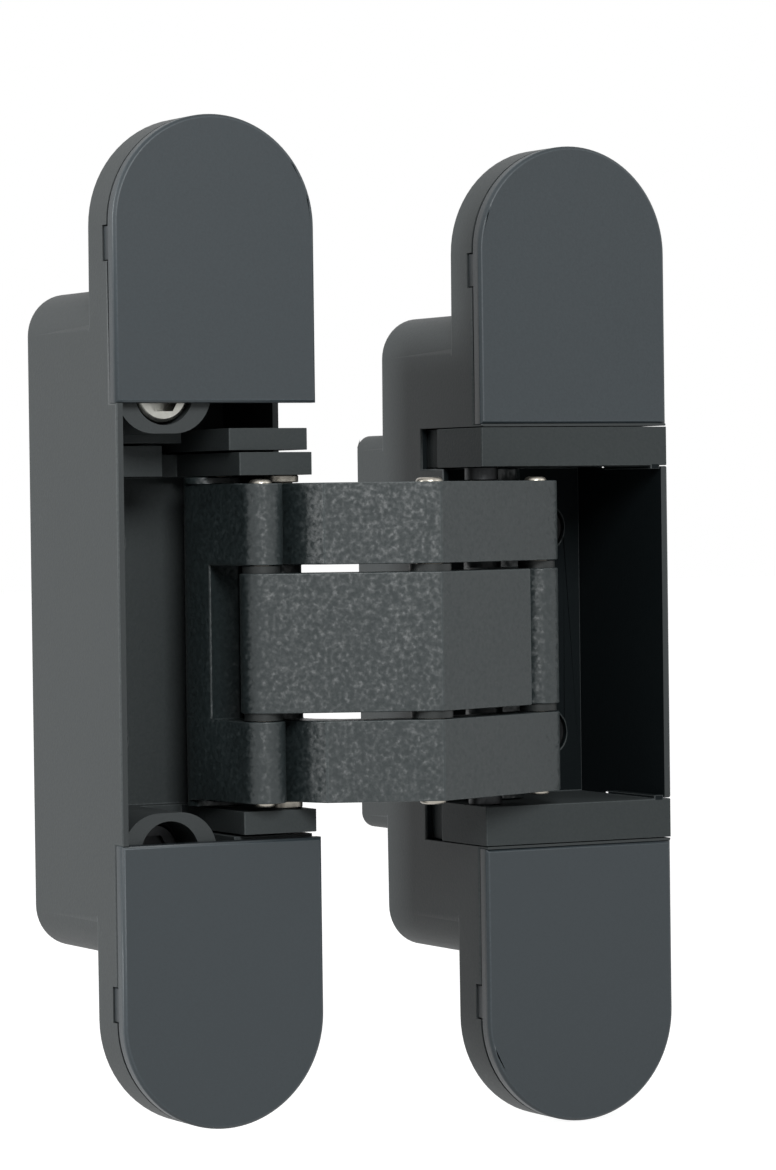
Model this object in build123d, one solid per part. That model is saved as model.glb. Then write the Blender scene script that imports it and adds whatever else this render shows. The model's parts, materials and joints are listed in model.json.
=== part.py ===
from build123d import *
import cmath
import math
import os

os.makedirs("parts", exist_ok=True)

# A concealed door hinge, wide open. One housing is let into the door frame and the other into the
# edge of the door, and two crossing arms and two short links carry the door between them.
# X runs from the frame housing to the door housing, Y goes into the frame and the door, and Z is
# up. The pieces are built with the housings' faces at Y = 0, and then placed so that the origin is
# the middle of the plane on which the wings of the frame housing seat.
# All sizes are in millimetres.

# Housings, the same outline in the frame and in the door
housing_length = 110.0
housing_width = 24.0
wing_depth = 6.9
box_length = 73.0
box_depth = 24.1
box_corner = 4.75
side_wall = 0.8
floor_wall = 1.8
opening_length = 47.55
edge_break = 0.35

# The deeper well in the middle of the door housing
well_length = 46.0
well_depth = 30.7
well_corner = 1.75

# Gap between the two housings with the door wide open, and between their faces with it closed
open_gap = 20.5
closed_gap = 6.0

# Caps that hide the mounting screws
cap_thickness = 1.5
cap_seat_gap = 0.05
cap_edge = 0.3
hook_length = 3.6
hook_depth = 1.3
hook_thickness = 0.9
hook_fit = 0.15
hook_place = 41.0
peg_radius = 1.4
peg_depth = 2.6
peg_fit = 0.1
peg_place = 34.8

# Countersunk holes for the wood screws in the wings
screw_spacing = 90.0
screw_hole_radius = 2.25
screw_head_radius = 4.3

# Adjusting travels, each way from the middle, and how far the arms hang below the middle at rest
height_travel = 2.5
arm_drop = 2.4
side_travel = 1.0
depth_travel = 1.0
stop_clearance = 0.1

# Linkage, in the plan seen from above: the pivots on the frame side. Here and below, an inset is
# measured from the long edge of a housing beside the gap, and a depth from its face.
arm_pivot_inset = 2.3
arm_pivot_depth = 4.4
link_pivot_inset = 6.7
link_pivot_depth = 10.66
link_end_inset = 6.9
link_end_depth = 0.2
centre_proud = 6.7

# Arms
leaf_height = 8.9
middle_height = 15.2
leaf_gap = 0.9
centre_radius = 2.55
end_radius = 2.4
barrel_radius = 2.1
outer_corner_inset = 1.6
middle_corner_inset = 4.0
underside_reach = 2.3
throat_reach = 0.35
throat_depth = 1.8
outer_neck_bulge = 0.57
middle_neck_bulge = 0.05
link_slot_depth = 7.3

# Pins, bushes and washers
centre_pin_radius = 1.5
pin_radius = 1.25
pin_proud = 0.45
pin_chamfer = 0.2
running_fit = 0.05
slot_fit = 0.12
bush_wall = 0.42
bush_length = 5.0
flange_width = 0.35
flange_clearance = 0.1
washer_radius = 1.9
eye_wall = 0.7

# Arm carriage in the frame housing
end_plate = 2.5
plate_front = 0.3
plate_inset = 0.5
plate_far_inset = 9.3
plate_step_gap = 0.5
lug_inset = 14.5
lug_front = 9.0
lug_root = 2.1
lug_rise = 0.9
back_thickness = 1.7
rib_inset = 5.4
rib_depth = 2.8
slide_gap = 0.15

# Height carriage in the frame housing
outer_plate = 2.4
outer_plate_gap = 0.25
outer_inset = 0.4
outer_far_inset = 9.9
outer_front = 1.6
carriage_back = 1.6
carriages_gap = 0.25
pad_clearance = 0.4

# Bosses and clamp screws that lock the height carriage, placed from the housing's other long edge
boss_edge = 6.4
boss_z = 24.85
boss_radius = 4.35
boss_spread = 2.5
boss_bore = 3.45
boss_front = 1.6
boss_back = 8.6
boss_seat = 7.0
recess_half = 26.2
clamp_head_radius = 3.1
clamp_head_front = 1.85
clamp_low_front = 6.0
clamp_shank = 2.4
clamp_fit = 0.05
head_chamfer = 0.4
socket_width = 3.2
socket_depth = 2.0

# Screws that hold the arm carriage on the height carriage, in slots along X
side_screw_edge = 5.7
side_screw_z = 11.0
side_head_radius = 2.3
side_head_thickness = 0.8
side_shank = 1.3
screw_fit = 0.15
side_socket_width = 2.0
side_socket_depth = 0.5

# Door carriage
bar_thickness = 4.4
bar_inner = 19.0
bar_depth = 10.6
bar_fit = 0.1
bar_lip = 0.4
bar_lip_width = 1.2
pin_cover = 1.0
notch_depth = 14.5
door_back_thickness = 3.0
depth_screw_edge = 5.7
depth_screw_z = 12.0
depth_head_radius = 2.6
depth_head_thickness = 1.8
depth_shank = 1.5
depth_boss_radius = 3.2
depth_boss_gap = 1.4
wall_cut_depth = 9.4

# How far a cut runs past the surface that it opens
overrun = 1.0

# Worked out from the values above
half_width = housing_width / 2
mirror_x = half_width + open_gap / 2
door_x = 2 * mirror_x
arm_pivot = complex(half_width - arm_pivot_inset, arm_pivot_depth)
link_pivot = complex(half_width - link_pivot_inset, link_pivot_depth)
link_end = complex(half_width - link_end_inset, link_end_depth)
centre = complex(mirror_x, -centre_proud)
inner_x = half_width - side_wall
cap_inner = opening_length / 2
cap_length = housing_length / 2 - cap_inner
cap_seat = cap_thickness + cap_seat_gap
leaf_low = middle_height / 2 + leaf_gap
leaf_top = leaf_low + leaf_height
plate_low = leaf_top + leaf_gap
plate_top = plate_low + end_plate
outer_low = plate_top + outer_plate_gap
outer_top = outer_low + outer_plate
flange_height = leaf_gap - flange_clearance
floor_front = box_depth - floor_wall
carriage_floor = floor_front - slide_gap
carriage_front = carriage_floor - carriage_back
back_back = carriage_front - carriages_gap
back_front = back_back - back_thickness
boss_x = boss_edge - half_width
boss_right = boss_x + boss_spread / 2 + boss_radius
side_screw_x = side_screw_edge - half_width
depth_screw_x = half_width - depth_screw_edge
pocket_half = outer_top + height_travel + stop_clearance
pad_front = boss_back + pad_clearance
pad_half = boss_z + arm_drop + clamp_shank
pad_pocket = pad_half + height_travel + stop_clearance
carriage_side = inner_x - slide_gap
bar_outer = bar_inner + bar_thickness
door_back = back_front + door_back_thickness
door_floor = well_depth - floor_wall
door_pin_half = bar_outer - pin_cover


def mirrored(point):
    """The same point on the door side."""
    return complex(2 * mirror_x - point.real, point.imag)


def turned(point, pivot, degrees):
    """A plan point turned about a pivot."""
    return pivot + (point - pivot) * cmath.rect(1, math.radians(degrees))


def direction(point):
    return math.degrees(cmath.phase(point))


# How the linkage folds as the door turns 180 degrees to closed. The centre pivot swings about the
# frame's arm pivot down to the middle of the closed gap, and that sets the turn of the outer arm.
door_turn = -180.0
arm_reach = abs(centre - arm_pivot)
centre_drop = arm_pivot.imag + closed_gap / 2
centre_closed = arm_pivot - complex(math.sqrt(arm_reach**2 - centre_drop**2), centre_drop)
arm_turn = direction(centre_closed - arm_pivot) - direction(centre - arm_pivot)
if arm_turn > 0:
    arm_turn -= 360


def link_end_at(share):
    """Where the link's end pin is, at a share of the door's whole turn."""
    middle = turned(centre, arm_pivot, share * arm_turn)
    return middle + turned(link_end, centre, share * (door_turn - arm_turn)) - centre


link_turn = direction(link_pivot - link_end_at(1)) - direction(link_pivot - link_end)


def pin_seen_from_link(share):
    """Where the fixed link pin lies in the link's own frame, at a share of the door's turn."""
    away = link_pivot - link_end_at(share)
    return link_end + away * cmath.rect(1, math.radians(-share * link_turn))


# The link turns at a steady rate with the door, so its fixed pin wanders a little in its eye.
# These three places bound that wander, and the eye is a slot round them.
slot_points = [pin_seen_from_link(share) for share in (0, 0.5, 1)]


def at(point):
    return (point.real, point.imag)


def disc(point, radius):
    return Pos(*at(point)) * Circle(radius)


def tapered(start, start_radius, end, end_radius_):
    """A bar with round ends of two radii and straight sides tangent to both."""
    gap = abs(end - start)
    lean = math.acos((start_radius - end_radius_) / gap)
    along = (end - start) / gap
    left, right = along * cmath.rect(1, lean), along * cmath.rect(1, -lean)
    sides = Polygon(
        at(start + start_radius * left),
        at(end + end_radius_ * left),
        at(end + end_radius_ * right),
        at(start + start_radius * right),
        align=None,
    )
    return sides + disc(start, start_radius) + disc(end, end_radius_)


def layer(sketch, low, high):
    """A plan outline between two heights."""
    return extrude(Plane.XY.offset(low) * sketch, amount=high - low, dir=(0, 0, 1))


def slab(sketch, front, back):
    """An outline on the face, seen from the room, between two depths."""
    return extrude(Plane.XZ.offset(-back) * sketch, amount=back - front, dir=(0, -1, 0))


def both_levels(sketch, low, high):
    """A plan outline above and below the middle."""
    return layer(sketch, low, high) + layer(sketch, -high, -low)


def post(point, radius, low, high):
    return layer(disc(point, radius), low, high)


def block(x, y, z):
    """A box from its lowest and highest value in each direction."""
    size = (x[1] - x[0], y[1] - y[0], z[1] - z[0])
    middle = ((x[0] + x[1]) / 2, (y[0] + y[1]) / 2, (z[0] + z[1]) / 2)
    return Pos(*middle) * Box(*size)


def both_ends(low, high):
    return ((low, high), (-high, -low))


def both_half(half):
    return (-half, half)


def stud(x, z, radius, front, back):
    """A cylinder that points into the frame or the door."""
    return slab(Pos(x, z) * Circle(radius), front, back)


# Arms

def arm_outline(corner_inset, neck_bulge):
    """Plan of an arm on the frame side's pivot: a straight leaf each side of the centre pin, and
    a curved neck that turns into the pocket to the barrel on the arm pivot."""
    corner_x = half_width - corner_inset
    lean = math.asin((centre_radius - end_radius) / abs(link_end - centre))
    along = (link_end - centre) / abs(link_end - centre)
    out = along * cmath.rect(1, math.pi / 2 - lean)
    under = along * cmath.rect(1, -math.pi / 2 + lean)

    def on_side(side, x):
        start, end = centre + centre_radius * side, link_end + end_radius * side
        return start + (end - start) * (x - start.real) / (end.real - start.real)

    far = mirrored(link_end)
    apex = on_side(out, centre.real)
    corner = on_side(out, corner_x)
    neck = arm_pivot - barrel_radius
    swell = (neck - corner) / abs(neck - corner) * complex(0, neck_bulge)
    throat = complex(half_width + throat_reach, throat_depth)
    outline = Polyline(
        at(neck), at(arm_pivot + barrel_radius), at(throat),
        at(on_side(under, half_width + underside_reach)), at(on_side(under, centre.real)),
        at(apex), at(corner),
    ) + ThreePointArc(at(corner), at((corner + neck) / 2 + swell), at(neck))
    near_side = make_face(outline)
    return (
        near_side
        + disc(arm_pivot, barrel_radius)
        + tapered(centre, centre_radius, far, end_radius)
        + Polygon(at(apex), at(mirrored(on_side(out, corner_x))), at(centre), align=None)
    )


def outer_arm():
    """A fork of two leaves, joined by the barrel on the frame's arm pin."""
    far = mirrored(link_end)
    arm = both_levels(arm_outline(outer_corner_inset, outer_neck_bulge), leaf_low, leaf_top)
    arm += post(arm_pivot, barrel_radius, -leaf_top, leaf_top)
    arm -= post(arm_pivot, pin_radius + running_fit, -plate_low, plate_low)
    arm -= post(centre, centre_pin_radius, -plate_low, plate_low)
    arm -= post(far, pin_radius, -plate_low, plate_low)
    return arm


def middle_arm():
    """One leaf between the fork's two, with a full height barrel on the door's arm pin."""
    half = middle_height / 2
    plan = mirror(arm_outline(middle_corner_inset, middle_neck_bulge), Plane.YZ.offset(mirror_x))
    arm = layer(plan, -half, half)
    arm += post(mirrored(arm_pivot), barrel_radius, -leaf_top, leaf_top)
    arm -= post(mirrored(arm_pivot), pin_radius + running_fit, -plate_low, plate_low)
    arm -= post(centre, centre_pin_radius + running_fit + bush_wall, -half, half)
    arm -= post(link_end, pin_radius + running_fit + bush_wall, -half, half)
    return arm


def eye_outline(growth):
    """Plan of the link's slotted eye, grown outward from the path of the pin."""
    first, second, third = slot_points
    radius = pin_radius + slot_fit + growth
    eye = tapered(first, radius, second, radius) + tapered(second, radius, third, radius)
    eye += tapered(third, radius, first, radius)
    return eye + Polygon(at(first), at(second), at(third), align=None)


def link_plan():
    """Plan of a link: a round end, a stem with flat flanks and the slotted eye."""
    widest = pin_radius + slot_fit + eye_wall
    return tapered(link_end, end_radius, slot_points[1], widest) + eye_outline(eye_wall)


def link_web():
    """Plan of the full height part of a link, from the eye to the hollow floor of its slot."""
    return link_plan() - disc(link_end, link_slot_depth)


def frame_link():
    """Two ears on the end pin, joined by a full height barrel on the frame's link pin."""
    link = both_levels(link_plan(), leaf_low, leaf_top)
    link += layer(link_web(), -leaf_top, leaf_top)
    barrel = plate_low - flange_clearance
    link += layer(eye_outline(eye_wall), -barrel, barrel)
    link -= layer(eye_outline(0), -plate_low, plate_low)
    link -= post(link_end, pin_radius, -plate_low, plate_low)
    return link


def door_link():
    """One knuckle between the fork's ends, and a full height barrel on the door's link pin."""
    half, barrel = middle_height / 2, bar_inner - flange_clearance
    link = layer(link_plan(), -half, half) + layer(link_web(), -leaf_top, leaf_top)
    link += layer(eye_outline(eye_wall), -barrel, barrel)
    link -= layer(eye_outline(0), -bar_inner, bar_inner)
    link -= post(link_end, pin_radius + running_fit + bush_wall, -half, half)
    return mirror(link, Plane.YZ.offset(mirror_x))


# Pins, bushes and washers

def pin(point, radius, half_length):
    rod = post(point, radius, -half_length, half_length)
    ends = rod.edges().filter_by(GeomType.CIRCLE)
    return chamfer(ends, pin_chamfer)


def flanged_bush(point, bore):
    """A plain bearing pressed in from above, whose flange keeps two leaves apart."""
    top = middle_height / 2
    bush = post(point, bore + bush_wall, top - bush_length, top)
    bush += post(point, bore + bush_wall + flange_width, top, top + flange_height)
    return bush - post(point, bore, top - bush_length, top + flange_height)


def washer(point, low, high):
    return post(point, washer_radius, low, high) - post(point, pin_radius + running_fit, low, high)


def upside_down(shape):
    return mirror(shape, Plane.XY)


# Housings, built about their own middle

def wing_outline(inset=0):
    """The whole face of a housing, rounded over its full width at both ends."""
    return Rot(Z=90) * SlotOverall(housing_length - 2 * inset, housing_width - 2 * inset)


def cap_outline(end):
    """One rounded end of the housing's face, up to the opening. The end is 1 above, -1 below."""
    kept = Pos(0, end * (cap_inner + cap_length / 2)) * Rectangle(housing_width, cap_length)
    return wing_outline() & kept


def cap_seat_edge(end):
    """The narrow rebate round a wing that leaves a shadow line under its cap."""
    return cap_outline(end) - wing_outline(edge_break)


def housing_body(depth_steps):
    """The wing plate with its rebates for the caps, and the boxes behind it."""
    body = slab(wing_outline(), 0, wing_depth)
    for length, depth, corner in depth_steps:
        body += slab(RectangleRounded(housing_width, length, corner), 0, depth)
    for end in (1, -1):
        body -= slab(cap_outline(end), 0, cap_seat)
        body -= slab(cap_seat_edge(end), cap_seat, cap_seat + edge_break)
        body -= stud(0, end * screw_spacing / 2, screw_hole_radius, cap_seat, wing_depth)
        body -= countersink(end * screw_spacing / 2)
        body -= stud(0, end * peg_place, peg_radius + peg_fit, cap_seat, cap_seat + peg_depth + peg_fit)
        for side in (1, -1):
            body -= hook(side, end, hook_fit)
    return body


def countersink(z):
    """The conical seat of a wood screw's head."""
    depth = screw_head_radius - screw_hole_radius
    cone = Cone(screw_hole_radius, screw_head_radius, depth)
    return Pos(0, cap_seat + depth / 2, z) * Rot(X=90) * cone


def hook(side, end, fit):
    """A cap's side hook, or with a fit round it the notch that the hook snaps into."""
    inside = half_width - hook_fit - hook_thickness - fit
    outside = half_width + fit if fit else half_width - hook_fit
    x = sorted((side * inside, side * outside))
    z = (end * hook_place - hook_length / 2 - fit, end * hook_place + hook_length / 2 + fit)
    return block(x, (cap_thickness, cap_thickness + hook_depth + fit), z)


def cap(end):
    """A thin cap with two side hooks and a peg, which hides the screws of one wing."""
    plate = slab(cap_outline(end), 0, cap_thickness)
    plate = chamfer(plate.faces().sort_by(Axis.Y)[0].edges(), cap_edge)
    plate += stud(0, end * peg_place, peg_radius, cap_thickness, cap_seat + peg_depth)
    for side in (1, -1):
        plate += hook(side, end, 0)
    return plate


def frame_housing():
    """The housing let into the frame, with room for its carriages and two clamp screw bosses."""
    body = housing_body([(box_length, box_depth, box_corner)])
    pocket = both_half(pocket_half)
    body -= block((-inner_x, inner_x), (0, pad_front), both_half(recess_half))
    body -= block((-inner_x, inner_x), (0, floor_front), pocket)
    body -= block((-inner_x, boss_right), (pad_front - pad_clearance / 2, floor_front),
                  both_half(pad_pocket))
    body -= block((inner_x - overrun, half_width + overrun), (-overrun, wall_cut_depth), pocket)
    for end in (1, -1):
        boss = SlotCenterToCenter(boss_spread, 2 * boss_radius)
        body += slab(Pos(boss_x, end * boss_z) * boss, boss_front, boss_back)
        body -= stud(boss_x, end * boss_z, boss_bore, 0, boss_seat)
        body -= stud(boss_x, end * boss_z, clamp_shank + clamp_fit, boss_seat, pad_front)
    return body


def door_housing():
    """The housing let into the door, deeper in the middle, notched for the bars of its carriage."""
    steps = [(box_length, box_depth, box_corner), (well_length, well_depth, well_corner)]
    body = housing_body(steps)
    pocket = bar_outer + bar_fit
    ledge = door_back + depth_travel + stop_clearance
    body -= block((-inner_x, inner_x), (-overrun, ledge), both_half(pocket))
    well = well_length / 2 - well_corner
    body -= block((-inner_x, inner_x), (0, door_floor), both_half(min(pocket, well)))
    left, right = -half_width - overrun, half_width + overrun
    body -= block((left, overrun - inner_x), (-overrun, wall_cut_depth), both_half(pocket))
    for low, high in both_ends(bar_inner - bar_fit, pocket):
        body -= block((left, right), (-overrun, notch_depth), (low, high))
    for end in (1, -1):
        body += stud(depth_screw_x, end * depth_screw_z, depth_boss_radius,
                     door_back + depth_boss_gap, door_floor)
        body -= stud(depth_screw_x, end * depth_screw_z, depth_shank + clamp_fit,
                     door_back + depth_boss_gap, door_floor)
    return body


# Carriages, built about the middle of the arms

def arm_carriage():
    """End plates that hold the frame's two pivot pins, on a back plate with two screw slots."""
    left, right = side_travel + slide_gap - inner_x, inner_x - side_travel - slide_gap
    plate_left, plate_right = half_width - plate_far_inset, half_width - plate_inset
    step = wall_cut_depth - plate_step_gap
    root = back_front - lug_root
    plan = Polygon(
        (plate_left, plate_front), (plate_right, plate_front), (plate_right, step), (right, step),
        (right, back_back), (left, back_back), (left, root), (plate_left, root), align=None,
    )
    body = both_levels(plan, plate_low, plate_top)
    for low, high in both_ends(plate_low, plate_top + lug_rise):
        body += block((left, half_width - lug_inset), (lug_front, back_back), (low, high))
    body += block((left, right), (back_front, back_back), both_half(plate_top))
    body += block((half_width - rib_inset, right), (back_front - rib_depth, back_back),
                  both_half(plate_top))
    body -= post(arm_pivot, pin_radius, -plate_top, plate_top)
    body -= post(link_pivot, pin_radius, -plate_top, plate_top)
    for end in (1, -1):
        place = Pos(side_screw_x, end * side_screw_z)
        head = side_head_radius + screw_fit
        shank = side_shank + screw_fit
        recess = SlotCenterToCenter(2 * side_travel, 2 * head)
        body -= slab(place * recess, back_front, back_front + side_head_thickness + screw_fit)
        body -= slab(place * SlotCenterToCenter(2 * side_travel, 2 * shank), back_front, back_back)
    return body


def height_carriage():
    """A back plate with front plates beyond the arm carriage and pads under the clamp screws."""
    left, right = -carriage_side, carriage_side
    plate_left, plate_right = half_width - outer_far_inset, half_width - outer_inset
    body = block((left, right), (carriage_front, carriage_floor), both_half(outer_top))
    for low, high in both_ends(outer_low, outer_top):
        body += block((plate_left, right), (outer_front, carriage_floor), (low, high))
        body += block((plate_left, plate_right), (outer_front, wall_cut_depth - plate_step_gap),
                      (low, high))
    for low, high in both_ends(outer_low + lug_rise, pad_half):
        body += block((left, boss_right - slide_gap), (pad_front, carriage_floor), (low, high))
    for end in (1, -1):
        body -= stud(side_screw_x, end * side_screw_z, side_shank, carriage_front, carriage_floor)
    return body


def door_carriage():
    """Two full width bars that hold the door's pivot pins, on a thick back plate."""
    pins = (mirrored(arm_pivot) - door_x, mirrored(link_pivot) - door_x)
    body = block(both_half(carriage_side), (back_front, door_back), both_half(bar_outer))
    for low, high in both_ends(bar_inner, bar_outer):
        body += block(both_half(half_width), (0, bar_depth), (low, high))
        body += block(both_half(carriage_side), (0, door_back), (low, high))
    lip = (carriage_side - bar_lip_width, carriage_side)
    for low, high in both_ends(bar_inner - bar_lip, bar_inner):
        body += block(lip, (0, bar_depth), (low, high))
    for point in pins:
        body -= post(point, pin_radius, -door_pin_half, door_pin_half)
    for end in (1, -1):
        x, z = depth_screw_x, end * depth_screw_z
        body -= stud(x, z, depth_head_radius + screw_fit, back_front,
                     back_front + depth_head_thickness + screw_fit)
        body -= stud(x, z, depth_shank + clamp_fit, back_front, door_back)
    return body


# Screws, each with a hexagon socket

def socket(x, z, front, width, depth):
    return slab(Pos(x, z) * RegularPolygon(width / 2, 6, major_radius=False), front, front + depth)


def clamp_screw(end, front):
    head = stud(boss_x, end * boss_z, clamp_head_radius, front, boss_seat)
    screw = chamfer(head.faces().sort_by(Axis.Y)[0].edges(), head_chamfer)
    screw += stud(boss_x, end * boss_z, clamp_shank, boss_seat, pad_front - clamp_fit)
    depth = min(socket_depth, boss_seat - front - pin_chamfer)
    return screw - socket(boss_x, end * boss_z, front, socket_width, depth)


def flat_screw(x, z, front, head_radius, head_thickness, shank, tip, width, depth):
    screw = stud(x, z, head_radius, front, front + head_thickness)
    screw += stud(x, z, shank, front + head_thickness, tip)
    return screw - socket(x, z, front, width, depth)


def frame_side():
    """The pieces in the door frame, about the frame housing's middle."""
    yield "frame_housing", frame_housing()
    yield "frame_cap_upper", cap(1)
    yield "frame_cap_lower", cap(-1)
    yield "frame_clamp_screw_upper", clamp_screw(1, clamp_head_front)
    yield "frame_clamp_screw_lower", clamp_screw(-1, clamp_low_front)


def door_side():
    """The pieces in the door, about the door housing's middle."""
    yield "door_housing", door_housing()
    yield "door_cap_upper", cap(1)
    yield "door_cap_lower", cap(-1)
    yield "door_carriage", door_carriage()
    for name, end in (("upper", 1), ("lower", -1)):
        tip = door_floor - depth_travel - pad_clearance
        yield f"depth_screw_{name}", flat_screw(
            depth_screw_x, end * depth_screw_z, back_front + screw_fit, depth_head_radius,
            depth_head_thickness, depth_shank, tip, side_socket_width, side_socket_depth,
        )


def working_parts():
    """The arms, links and carriages, about the middle of the arms."""
    yield "height_carriage", height_carriage()
    yield "arm_carriage", arm_carriage()
    for name, end in (("upper", 1), ("lower", -1)):
        yield f"side_screw_{name}", flat_screw(
            side_screw_x, end * side_screw_z, back_front + running_fit, side_head_radius,
            side_head_thickness, side_shank, carriage_floor, side_socket_width, side_socket_depth,
        )
    yield "outer_arm", outer_arm()
    yield "middle_arm", middle_arm()
    yield "frame_link", frame_link()
    yield "door_link", door_link()
    far_end, leaf_pin = mirrored(link_end), leaf_top + pin_proud
    yield "centre_pin", pin(centre, centre_pin_radius, leaf_pin)
    yield "frame_link_end_pin", pin(link_end, pin_radius, leaf_pin)
    yield "door_link_end_pin", pin(far_end, pin_radius, leaf_pin)
    yield "frame_arm_pin", pin(arm_pivot, pin_radius, plate_top)
    yield "frame_link_pin", pin(link_pivot, pin_radius, plate_top)
    yield "door_arm_pin", pin(mirrored(arm_pivot), pin_radius, door_pin_half)
    yield "door_link_pin", pin(mirrored(link_pivot), pin_radius, door_pin_half)
    bore = pin_radius + running_fit
    paired = {
        "centre_bush": flanged_bush(centre, centre_pin_radius + running_fit),
        "frame_end_bush": flanged_bush(link_end, bore),
        "door_end_bush": flanged_bush(far_end, bore),
        "frame_washer": washer(arm_pivot, leaf_top + flange_clearance, plate_low),
        "door_washer": washer(mirrored(arm_pivot), leaf_top + flange_clearance, bar_inner),
    }
    for name, shape in paired.items():
        yield f"{name}_upper", shape
        yield f"{name}_lower", upside_down(shape)


places = (
    (frame_side, Pos(0, -wing_depth, 0)),
    (working_parts, Pos(0, -wing_depth, -arm_drop)),
    (door_side, Pos(door_x, -wing_depth, -arm_drop)),
)
for pieces, place in places:
    for name, shape in pieces():
        export_step(place * shape, f"parts/{name}.step")
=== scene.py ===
import json
import math

import bmesh
import bpy
from mathutils import Matrix, Vector


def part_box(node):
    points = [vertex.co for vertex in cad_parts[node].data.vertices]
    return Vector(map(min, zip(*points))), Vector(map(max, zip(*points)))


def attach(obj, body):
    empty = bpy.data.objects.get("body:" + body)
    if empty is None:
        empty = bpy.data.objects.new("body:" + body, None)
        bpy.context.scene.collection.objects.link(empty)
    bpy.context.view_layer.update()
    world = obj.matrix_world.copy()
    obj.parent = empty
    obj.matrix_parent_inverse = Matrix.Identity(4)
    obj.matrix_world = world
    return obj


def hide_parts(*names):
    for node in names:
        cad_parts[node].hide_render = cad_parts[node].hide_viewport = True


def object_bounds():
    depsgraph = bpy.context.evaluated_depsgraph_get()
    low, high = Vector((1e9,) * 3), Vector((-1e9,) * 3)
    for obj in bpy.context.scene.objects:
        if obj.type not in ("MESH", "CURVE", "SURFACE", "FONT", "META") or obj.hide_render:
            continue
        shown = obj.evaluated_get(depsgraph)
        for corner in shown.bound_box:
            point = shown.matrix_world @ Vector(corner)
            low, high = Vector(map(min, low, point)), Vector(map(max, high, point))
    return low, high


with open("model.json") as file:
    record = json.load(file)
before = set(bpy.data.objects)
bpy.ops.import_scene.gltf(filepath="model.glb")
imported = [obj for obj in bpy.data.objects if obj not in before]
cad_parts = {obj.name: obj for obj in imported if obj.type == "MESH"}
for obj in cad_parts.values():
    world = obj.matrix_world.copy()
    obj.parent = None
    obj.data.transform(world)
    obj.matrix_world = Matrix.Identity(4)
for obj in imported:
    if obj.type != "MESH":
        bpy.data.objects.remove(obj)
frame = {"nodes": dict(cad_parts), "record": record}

nodes = frame["nodes"]
cad_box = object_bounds()
MM = 0.001


# The picture. The hinge hangs in front of plain white, with a camera at the height of its upper
# arms that looks from the left. A pale floor lies just under it and takes its soft shadow. A lamp
# in front, one on the left and a weak one on the right light it, in a dim room.

class Socket:
    """A node's output that can stand in a sum."""

    def __init__(self, graph, socket):
        self.graph = graph
        self.socket = socket

    def output(self, name):
        """Another output of the same node."""
        return Socket(self.graph, self.socket.node.outputs[name])

    def combined(self, operation, first, second):
        return self.graph.node("ShaderNodeMath", {"operation": operation}, {0: first, 1: second})

    def __add__(self, other):
        return self.combined("ADD", self, other)

    def __radd__(self, other):
        return self.combined("ADD", other, self)

    def __sub__(self, other):
        return self.combined("SUBTRACT", self, other)

    def __rsub__(self, other):
        return self.combined("SUBTRACT", other, self)

    def __mul__(self, other):
        return self.combined("MULTIPLY", self, other)

    def __rmul__(self, other):
        return self.combined("MULTIPLY", other, self)

    def above(self, other):
        return self.combined("GREATER_THAN", self, other)

    def at_least(self, other):
        return self.combined("MAXIMUM", self, other)


class Graph:
    """The nodes of one material or one shape."""

    def __init__(self, tree):
        self.tree = tree

    def node(self, kind, settings=None, inputs=None, output=0):
        made = self.tree.nodes.new(kind)
        for name, value in (settings or {}).items():
            setattr(made, name, value)
        for name, value in (inputs or {}).items():
            socket = made.inputs[name]
            if isinstance(value, Socket):
                self.tree.links.new(value.socket, socket)
            elif isinstance(value, tuple) and socket.type == "RGBA":
                socket.default_value = (*value, 1)
            else:
                socket.default_value = value
        return Socket(self, made.outputs[output]) if made.outputs else None


def new_material(name):
    material = bpy.data.materials.new(name)
    material.use_nodes = True
    material.node_tree.nodes.clear()
    return material, Graph(material.node_tree)


def seen_share(graph):
    """1 where the camera or a reflection looks, 0 where only light gathers."""
    camera = graph.node("ShaderNodeLightPath", output="Is Camera Ray")
    glossy = camera.output("Is Glossy Ray")
    clear = camera.output("Is Transmission Ray")
    return camera.at_least(glossy).at_least(clear)


scene = bpy.context.scene
scene.view_settings.view_transform = "Standard"

white = (1, 1, 1)
room_light = 0.06
world = bpy.data.worlds.new("room")
world.use_nodes = True
world.node_tree.nodes.clear()
graph = Graph(world.node_tree)
strength = seen_share(graph) * (1 - room_light) + room_light
room = graph.node("ShaderNodeBackground", inputs={"Color": white, "Strength": strength})
graph.node("ShaderNodeOutputWorld", inputs={"Surface": room})
scene.world = world

floor_reach = 3.0
floor_gap = 0.2 * MM
floor_grey = (0.3, 0.3, 0.3)
floor_glow = 0.93
floor_height = cad_box[0][2] - floor_gap
bm = bmesh.new()
bmesh.ops.create_grid(bm, x_segments=2, y_segments=2, size=floor_reach)
bmesh.ops.translate(bm, verts=bm.verts, vec=(0, 0, floor_height))
mesh = bpy.data.meshes.new("floor")
bm.to_mesh(mesh)
bm.free()
floor = bpy.data.objects.new("floor", mesh)
scene.collection.objects.link(floor)
floor_paper, graph = new_material("floor_paper")
paper = graph.node(
    "ShaderNodeBsdfPrincipled",
    inputs={
        "Base Color": floor_grey,
        "Roughness": 0.9,
        "Emission Color": white,
        "Emission Strength": seen_share(graph) * floor_glow,
    },
)
graph.node("ShaderNodeOutputMaterial", inputs={"Surface": paper})
mesh.materials.append(floor_paper)

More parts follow.
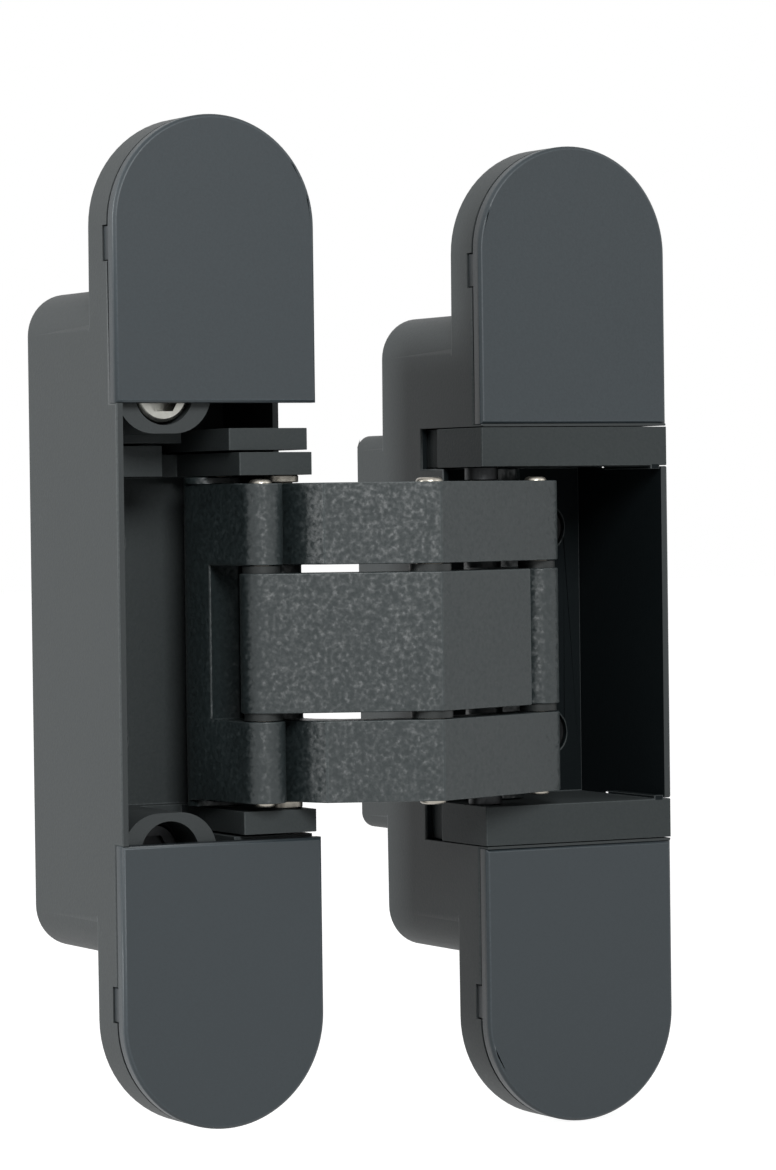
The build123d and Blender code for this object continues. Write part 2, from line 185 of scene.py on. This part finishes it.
hinge_middle = Vector((0.022, 0.003, 0))
for name, place, size, power in (
    ("front_lamp", (-0.1, -0.421, 0.235), 0.17, 2.0),
    ("right_lamp", (0.543, -0.434, 0.317), 0.3, 0.8),
    ("left_lamp", (-0.691, 0.129, 0.194), 0.2, 5.2),
):
    soft_box = bpy.data.lights.new(name, "AREA")
    soft_box.shape = "SQUARE"
    soft_box.size = size
    soft_box.energy = power
    lamp = bpy.data.objects.new(name, soft_box)
    lamp.location = place
    lamp.rotation_euler = (hinge_middle - Vector(place)).to_track_quat("-Z", "Y").to_euler()
    scene.collection.objects.link(lamp)

# The view as fitted to the photograph's 776 by 1170 pixels.
view_yaw = math.radians(-27.401)
view_pitch = math.radians(1.032)
view_roll = math.radians(-0.741)
view_distance = 496.174 * MM
view_target = Vector((20.503, -6.9, 3.643)) * MM
view_focus = 4496.133
picture_height = 1170
film = 36

forward = Vector(
    (
        -math.sin(view_yaw) * math.cos(view_pitch),
        math.cos(view_yaw) * math.cos(view_pitch),
        -math.sin(view_pitch),
    )
)
level = forward.cross(Vector((0, 0, 1))).normalized()
upward = level.cross(forward)
picture_right = math.cos(view_roll) * level + math.sin(view_roll) * upward
picture_up = math.cos(view_roll) * upward - math.sin(view_roll) * level
camera_data = bpy.data.cameras.new("camera")
camera_data.sensor_width = film
camera_data.lens = view_focus / picture_height * film
camera_data.clip_start = 0.01
camera = bpy.data.objects.new("camera", camera_data)
camera_turn = Matrix((picture_right, picture_up, -forward)).transposed().to_4x4()
camera.matrix_world = Matrix.Translation(view_target - forward * view_distance) @ camera_turn
scene.collection.objects.link(camera)
scene.camera = camera


# The two housings. Each is one zinc die casting: a round-ended face plate with a box behind it,
# open at the front, under a fine dark grey coat that is a little paler where it wears on edges.
# The faces inside the door's pocket are painted near black, a painted shade for the dark in it.

def softened(node, width, chosen=None, sharpest=100, hollows=True):
    """A node's shape again, with its edges, or the chosen ones, a little rounded.

    Edges that turn more than sharpest degrees stay sharp, and hollow ones too without hollows.
    """
    flattest = 30
    bm = bmesh.new()
    bm.from_mesh(nodes[node].data)
    bmesh.ops.remove_doubles(bm, verts=bm.verts, dist=1e-6)
    weight = bm.edges.layers.float.new("bevel_weight_edge")
    for edge in bm.edges:
        turn = math.degrees(edge.calc_face_angle(0))
        if flattest < turn < sharpest:
            edge.smooth = False
            middle = (edge.verts[0].co + edge.verts[1].co) / 2 / MM
            if (not chosen or chosen(middle)) and (hollows or edge.is_convex):
                edge[weight] = 1
    for face in bm.faces:
        face.smooth = True
    mesh = bpy.data.meshes.new(node + "_body")
    bm.to_mesh(mesh)
    bm.free()
    piece = bpy.data.objects.new(node + "_body", mesh)
    scene.collection.objects.link(piece)
    rounding = piece.modifiers.new("rounding", "BEVEL")
    rounding.limit_method = "WEIGHT"
    rounding.width = width
    rounding.segments = 2
    rounding.harden_normals = True
    rounding.material = 1
    rounding.use_clamp_overlap = False
    return piece


body_of = {
    name: body
    for body, members in frame["record"]["behaviour"]["bodies"].items()
    for name in members
}


def dressed(piece, node, coats, shade_coat=None, is_shaded=None):
    """The piece takes its node's place, on the node's own body, in a coat worn at the edges.

    Faces picked by their middle in mm and their normal get the given coat of painted shade, which
    stands for the dark inside a pocket.
    """
    for material in coats:
        piece.data.materials.append(material)
    if shade_coat:
        piece.data.materials.append(shade_coat)
        for face in piece.data.polygons:
            if is_shaded(face.center / MM, face.normal):
                face.material_index = len(coats)
    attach(piece, body_of[node])
    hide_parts(node)


def coat(name, dark, pale, grain, depth, tilt, roughness, shine):
    """A baked coat: two close greys in small raised grains, mottled over wide areas.

    The grain is the width of the grains and the depth their height. They lean one way or the
    other by the tilt, so that they sparkle.
    """
    mottling = 0.25
    mottles_per_metre = 90
    gloss_change = 0.15
    material, graph = new_material(name)
    place = graph.node("ShaderNodeTexCoord", output="Object")
    fine = graph.node(
        "ShaderNodeTexNoise",
        inputs={"Vector": place, "Scale": 1 / grain, "Detail": 2, "Roughness": 0.5},
    )
    broad = graph.node(
        "ShaderNodeTexNoise", inputs={"Vector": place, "Scale": mottles_per_metre, "Detail": 2}
    )
    colour = graph.node(
        "ShaderNodeMix",
        {"data_type": "RGBA", "clamp_factor": True},
        {0: fine + (broad - 0.5) * mottling, 6: dark, 7: pale},
        output=2,
    )
    lean = graph.node(
        "ShaderNodeVectorMath",
        {"operation": "SUBTRACT"},
        {0: fine.output("Color"), 1: (0.5, 0.5, 0.5)},
    )
    leaning = graph.node(
        "ShaderNodeVectorMath",
        {"operation": "MULTIPLY_ADD"},
        {0: lean, 1: (tilt, tilt, tilt), 2: graph.node("ShaderNodeNewGeometry", output="Normal")},
    )
    upright = graph.node("ShaderNodeVectorMath", {"operation": "NORMALIZE"}, {0: leaning})
    relief = graph.node(
        "ShaderNodeBump",
        inputs={"Strength": 1.0, "Distance": depth, "Height": fine, "Normal": upright},
    )
    skin = graph.node(
        "ShaderNodeBsdfPrincipled",
        inputs={
            "Base Color": colour,
            "Roughness": (fine - 0.5) * gloss_change + roughness,
            "Specular IOR Level": shine,
            "Normal": relief,
        },
    )
    graph.node("ShaderNodeOutputMaterial", inputs={"Surface": skin})
    return material


def with_wear(name, dark, pale, **finish):
    """A coat, and the same coat rubbed paler in patches for the edges."""
    gain, lift = 1.6, 0.012
    rubbed = tuple(gain * part + lift for part in pale)
    return coat(name, dark, pale, **finish), coat(name + "_worn", dark, rubbed, **finish)


# Painted shade: a near-black coat for the faces inside the door's pocket, where the shade is
# deep.
pocket_painted_shade = coat(
    "pocket_painted_shade", dark=(0.003, 0.005, 0.006), pale=(0.006, 0.009, 0.010),
    grain=0.4 * MM, depth=0.02 * MM, tilt=0.1, roughness=0.7, shine=0.1,
)
housing_coats = with_wear(
    "housing_coat", dark=(0.025, 0.030, 0.031), pale=(0.036, 0.041, 0.042),
    grain=0.3 * MM, depth=0.02 * MM, tilt=0.1, roughness=0.55, shine=0.28,
)

# Sizes and places in mm. The depths run from the back of the wings, and the heights from the
# middle of each housing.
half_width = 12.0
wing_back = 0.0
box_back = 17.2
hook_notch_heights = (38.8, 43.2)
hook_notch_depths = (-5.6, -3.8)
pocket_half_width = 11.9
pocket_half_height = 30.0
pocket_front = -6.8
close = 0.02


def on_outside(point, middle_x, middle_z):
    """Whether an edge is on a side or the back, where a hand or the wall rubs it."""
    low, high = hook_notch_heights
    front, back = hook_notch_depths
    at_notch = low < abs(point.z - middle_z) < high and front < point.y < back
    on_side = abs(abs(point.x - middle_x) - half_width) < close
    on_back = abs(point.y - wing_back) < close or point.y > box_back - close
    return not at_notch and (on_side or on_back)


# Picks the faces inside the door's pocket that are painted with shade.
def in_pocket(point, normal, middle_x, middle_z):
    """Whether a face is inside the housing and faces the middle of it or the front."""
    across, up = point.x - middle_x, point.z - middle_z
    faces_middle = normal.x * across + normal.z * up < 0
    faces_front = normal.y < -0.5
    within = abs(across) < pocket_half_width and abs(up) < pocket_half_height
    return (faces_middle or faces_front) and within and point.y > pocket_front


# The door housing's pocket faces get the near-black painted shade.
for node, middle, shade_coat in (
    ("frame_housing", (0.0, 0.0), None),
    ("door_housing", (44.5, -2.4), pocket_painted_shade),
):
    rounded = softened(
        node, width=0.2 * MM, chosen=lambda point: on_outside(point, *middle), hollows=False
    )
    flatness = rounded.modifiers.new("flatness", "WEIGHTED_NORMAL")
    flatness.keep_sharp = True
    flatness.weight = 100
    dressed(rounded, node, housing_coats, shade_coat,
            lambda point, normal: in_pocket(point, normal, *middle))


# The four caps. Each is a thin plate of graphite grey moulded plastic with a very fine matt
# grain. It snaps on over the screws of one end.

cap_plastics = with_wear(
    "cap_plastic", dark=(0.010, 0.017, 0.021), pale=(0.016, 0.024, 0.029),
    grain=0.25 * MM, depth=0.004 * MM, tilt=0.12, roughness=0.5, shine=0.52,
)
for node in ("frame_cap_upper", "frame_cap_lower", "door_cap_upper", "door_cap_lower"):
    dressed(softened(node, width=0.1 * MM, sharpest=60), node, cap_plastics)


# The carriages. Three castings that hold the arms inside the housings and slide for adjustment,
# under nearly the same coat as the housings. The door's one has a bar across at each end, and
# between the bars it is painted near black, the same painted shade as the pocket that it lines.

carriage_coats = with_wear(
    "carriage_coat", dark=(0.026, 0.032, 0.033), pale=(0.040, 0.046, 0.047),
    grain=0.35 * MM, depth=0.03 * MM, tilt=0.15, roughness=0.6, shine=0.2,
)
door_middle_z = -2.4
bar_inside = 18.9


# Picks the faces between the door carriage's bars, which get the pocket's painted shade.
def between_bars(point, normal):
    return abs(point.z - door_middle_z) < bar_inside


for node, shade_coat in (
    ("arm_carriage", None),
    ("height_carriage", None),
    ("door_carriage", pocket_painted_shade),
):
    rounded = softened(node, width=0.12 * MM)
    dressed(rounded, node, carriage_coats, shade_coat, between_bars)


# The arms and links. Two crossing zinc castings, one of them a fork, and two short links behind
# them that steer the door. They have a coarser coat, whose grains lean and so catch the light.

arm_coats = with_wear(
    "arm_coat", dark=(0.009, 0.015, 0.016), pale=(0.017, 0.023, 0.024),
    grain=0.52 * MM, depth=0.01 * MM, tilt=0.82, roughness=0.46, shine=0.5,
)
for node in ("outer_arm", "middle_arm", "frame_link", "door_link"):
    dressed(softened(node, width=0.15 * MM), node, arm_coats)


# The pivot pins. Ground steel rods, nickel plated, with rounded ends that stand a little proud of
# the arms and links they hold together. Each is pressed into one casting and turns in the next.

def metal(name, colour, roughness):
    """A plated metal with fine turning marks and a little tarnish."""
    marks_per_metre = 3000
    spots_per_metre = 500
    tarnish_share = 0.5
    gloss_change = 0.3
    material, graph = new_material(name)
    place = graph.node("ShaderNodeTexCoord", output="Object")
    marks = graph.node(
        "ShaderNodeTexNoise", inputs={"Vector": place, "Scale": marks_per_metre, "Detail": 2}
    )
    spots = graph.node(
        "ShaderNodeTexNoise", inputs={"Vector": place, "Scale": spots_per_metre, "Detail": 3}
    )
    tarnished = tuple(part * tarnish_share for part in colour)
    shade = graph.node(
        "ShaderNodeMix", {"data_type": "RGBA"}, {0: spots, 6: colour, 7: tarnished}, output=2
    )
    skin = graph.node(
        "ShaderNodeBsdfPrincipled",
        inputs={
            "Base Color": shade,
            "Metallic": 1,
            "Roughness": (marks - 0.5) * gloss_change + roughness,
        },
    )
    graph.node("ShaderNodeOutputMaterial", inputs={"Surface": skin})
    return material


def lathe_tree():
    """Turns a profile (x the radius, z the height), sinks a hole in its top and repeats it."""
    tree = bpy.data.node_groups.new("turned_on_a_lathe", "GeometryNodeTree")
    for name, kind in (
        ("Profile", "Geometry"), ("Facets", "Int"), ("Hole Sides", "Int"),
        ("Hole Width", "Float"), ("Hole From", "Float"), ("Hole Depth", "Float"),
        ("Count", "Int"), ("First", "Vector"), ("Step", "Vector"), ("Turn", "Vector"),
        ("Finish", "Material"),
    ):
        tree.interface.new_socket(name=name, in_out="INPUT", socket_type="NodeSocket" + kind)
    tree.interface.new_socket(name="Turned", in_out="OUTPUT", socket_type="NodeSocketGeometry")
    graph = Graph(tree)
    asked = graph.node("NodeGroupInput")
    line = graph.node("GeometryNodeMeshToCurve", inputs={"Mesh": asked.output("Profile")})
    drawn = graph.node(
        "ShaderNodeSeparateXYZ", inputs={0: graph.node("GeometryNodeInputPosition")}
    )
    thick = graph.node(
        "GeometryNodeSetCurveRadius", inputs={"Curve": line, "Radius": drawn.output("X")}
    )
    axle = graph.node("ShaderNodeCombineXYZ", inputs={"Z": drawn.output("Z")})
    upright = graph.node("GeometryNodeSetPosition", inputs={"Geometry": thick, "Position": axle})
    ring = graph.node(
        "GeometryNodeCurvePrimitiveCircle",
        {"mode": "RADIUS"},
        {"Resolution": asked.output("Facets"), "Radius": 1.0},
    )
    across = graph.node("GeometryNodeInputRadius")
    solid = graph.node(
        "GeometryNodeCurveToMesh",
        inputs={"Curve": upright, "Profile Curve": ring, "Scale": across, "Fill Caps": True},
    )
    punch = graph.node(
        "GeometryNodeMeshCylinder",
        inputs={
            "Vertices": asked.output("Hole Sides"),
            "Radius": asked.output("Hole Width") * 0.5,
            "Depth": asked.output("Hole Depth") * 2,
        },
    )
    lift = graph.node("ShaderNodeCombineXYZ", inputs={"Z": asked.output("Hole From")})
    punch = graph.node("GeometryNodeTransform", inputs={"Geometry": punch, "Translation": lift})
    pierced = graph.node(
        "GeometryNodeMeshBoolean",
        {"operation": "DIFFERENCE", "solver": "EXACT"},
        {"Mesh 1": solid, "Mesh 2": punch},
    )
    piece = graph.node(
        "GeometryNodeSwitch",
        {"input_type": "GEOMETRY"},
        {"Switch": asked.output("Hole Width").above(0), "False": solid, "True": pierced},
    )
    row = graph.node(
        "GeometryNodeMeshLine",
        {"mode": "OFFSET"},
        {
            "Count": asked.output("Count"),
            "Start Location": asked.output("First"),
            "Offset": asked.output("Step"),
        },
    )
    copies = graph.node(
        "GeometryNodeInstanceOnPoints",
        inputs={"Points": row, "Instance": piece, "Rotation": asked.output("Turn")},
    )
    real = graph.node("GeometryNodeRealizeInstances", inputs={"Geometry": copies})
    done = graph.node(
        "GeometryNodeSetMaterial", inputs={"Geometry": real, "Material": asked.output("Finish")}
    )
    graph.node("NodeGroupOutput", inputs={"Turned": done})
    return tree


lathe = lathe_tree()


def turned(name, like, profile, finish, along="z", hole=(6, 0, 0)):
    """One piece turned from a profile in mm at the place of each node it is like.

    A hole has a number of sides, a width across its corners and a depth.
    """
    bm = bmesh.new()
    points = [bm.verts.new((radius * MM, 0, height * MM)) for radius, height in profile]
    for first, second in zip(points, points[1:]):
        bm.edges.new((first, second))
    mesh = bpy.data.meshes.new(name)
    bm.to_mesh(mesh)
    bm.free()
    places = []
    for node in like:
        low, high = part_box(node)
        middle = (low + high) / 2
        if along == "z":
            places.append(Vector((middle.x, middle.y, low.z)))
        else:
            places.append(Vector((middle.x, high.y, middle.z)))
    sides, width, depth = hole
    values = {
        "Facets": 48,
        "Hole Sides": sides,
        "Hole Width": width * MM,
        "Hole From": profile[-1][1] * MM,
        "Hole Depth": depth * MM,
        "Count": len(places),
        "First": tuple(places[0]),
        "Step": tuple(places[-1] - places[0]),
        "Turn": (0, 0, 0) if along == "z" else (math.radians(90), 0, 0),
        "Finish": finish,
    }
    maker = bpy.data.objects.new(name, mesh)
    scene.collection.objects.link(maker)
    modifier = maker.modifiers.new("lathe", "NODES")
    modifier.node_group = lathe
    for item in lathe.interface.items_tree:
        if item.in_out == "INPUT" and item.name in values:
            modifier[item.identifier] = values[item.name]
    evaluated = maker.evaluated_get(bpy.context.evaluated_depsgraph_get())
    made = bpy.data.meshes.new_from_object(evaluated)
    maker.modifiers.remove(modifier)
    bm = bmesh.new()
    bm.from_mesh(made)
    bmesh.ops.remove_doubles(bm, verts=bm.verts, dist=1e-7)
    bmesh.ops.recalc_face_normals(bm, faces=bm.faces)
    for face in bm.faces:
        face.smooth = True
    bm.to_mesh(made)
    bm.free()
    made.set_sharp_from_angle(angle=math.radians(40))
    maker.data = made
    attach(maker, body_of[like[0]])
    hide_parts(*like)


def radius_and_height(node):
    """The size in mm of an upright turned piece."""
    low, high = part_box(node)
    return (high.x - low.x) / 2 / MM, (high.z - low.z) / MM


def rod(radius, length):
    """The profile of a rod with rounded ends."""
    end = ((0.55, 0), (0.28, 0.06), (0.1, 0.2), (0, 0.42))
    lower = [(radius - back, up) for back, up in end]
    return lower + [(across, length - up) for across, up in reversed(lower)]


nickel = metal("nickel_plate", colour=(0.5, 0.47, 0.41), roughness=0.36)
for name, like in (
    ("arm_carriage_pins", ("frame_arm_pin", "frame_link_pin")),
    ("door_carriage_pins", ("door_arm_pin", "door_link_pin")),
    ("outer_arm_centre_pin", ("centre_pin",)),
    ("outer_arm_end_pin", ("door_link_end_pin",)),
    ("frame_link_pin_rod", ("frame_link_end_pin",)),
):
    turned(name, like, rod(*radius_and_height(like[0])), nickel)


# The washers and bushes. Thin turned rings that keep the arms apart and let them run dry: plated
# and black steel washers on the two arm pins, and dark flanged liners in the middle arm and the
# door link.

# Black steel for the door washers. On the lower clamp screw and the adjusting screws the black is
# painted shade for the dark around them.
black_steel_and_painted_shade = metal("oiled_black_and_painted_shade", colour=(0.05, 0.052, 0.054), roughness=0.45)
washer_edge = 0.1
washer_bore = 2.6
bore_sides = 48
right_through = 1.2
for name, like, finish in (
    ("frame_washers", ("frame_washer_upper", "frame_washer_lower"), nickel),
    ("door_washers", ("door_washer_upper", "door_washer_lower"), black_steel_and_painted_shade),
):
    radius, height = radius_and_height(like[0])
    rim = [(radius - washer_edge, 0), (radius, washer_edge),
           (radius, height - washer_edge), (radius - washer_edge, height)]
    bore = (bore_sides, washer_bore, height * right_through)
    turned(name, like, rim, finish, hole=bore)

liner = coat(
    "dry_liner", dark=(0.010, 0.012, 0.012), pale=(0.02, 0.023, 0.023),
    grain=0.2 * MM, depth=0.005 * MM, tilt=0.05, roughness=0.5, shine=0.3,
)
for node, piece in nodes.items():
    if "bush" in node:
        piece.data.materials.clear()
        piece.data.materials.append(liner)


# The screws, each turned with a hexagon hole for its key. The upper clamp screw is bright zinc
# plated. The lower one and the adjusting screws inside the carriages are painted black, a painted
# shade for the dark of the bores and pockets that they sit in.

zinc = metal("zinc_plate", colour=(0.5, 0.5, 0.46), roughness=0.34)


def headed(length, head, thickness, shank, bevel):
    """The profile of a screw: its shank below and its head with a bevelled rim on top."""
    tip = 0.3
    step = 0.02
    under = length - thickness
    return [(shank - tip, 0), (shank, tip), (shank, under - step), (head, under),
            (head, length - bevel), (head - bevel, length)]


hexagon = 6
clamp_head = {"head": 3.1, "shank": 2.4, "bevel": 0.35}
flat_head = {"head": 2.3, "thickness": 0.8, "shank": 1.3, "bevel": 0.15}
depth_head = {"head": 2.6, "thickness": 1.8, "shank": 1.5, "bevel": 0.25}
for name, like, sizes, key_width, key_depth, finish in (
    ("clamp_screw_bright", ("frame_clamp_screw_upper",),
     {**clamp_head, "thickness": 5.15}, 4.5, 2.0, zinc),
    # The lower clamp screw is painted black as painted shade for its dark bore.
    ("clamp_screw_dark", ("frame_clamp_screw_lower",),
     {**clamp_head, "thickness": 1.0}, 3.7, 0.8, black_steel_and_painted_shade),
    # The adjusting screws are painted black as painted shade for the dark inside the carriages.
    ("side_screws", ("side_screw_upper", "side_screw_lower"), flat_head, 2.3, 0.5, black_steel_and_painted_shade),
    ("depth_screws", ("depth_screw_upper", "depth_screw_lower"), depth_head, 2.3, 1.0, black_steel_and_painted_shade),
):
    low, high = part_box(like[0])
    profile = headed((high.y - low.y) / MM, **sizes)
    turned(name, like, profile, finish, along="y", hole=(hexagon, key_width, key_depth))
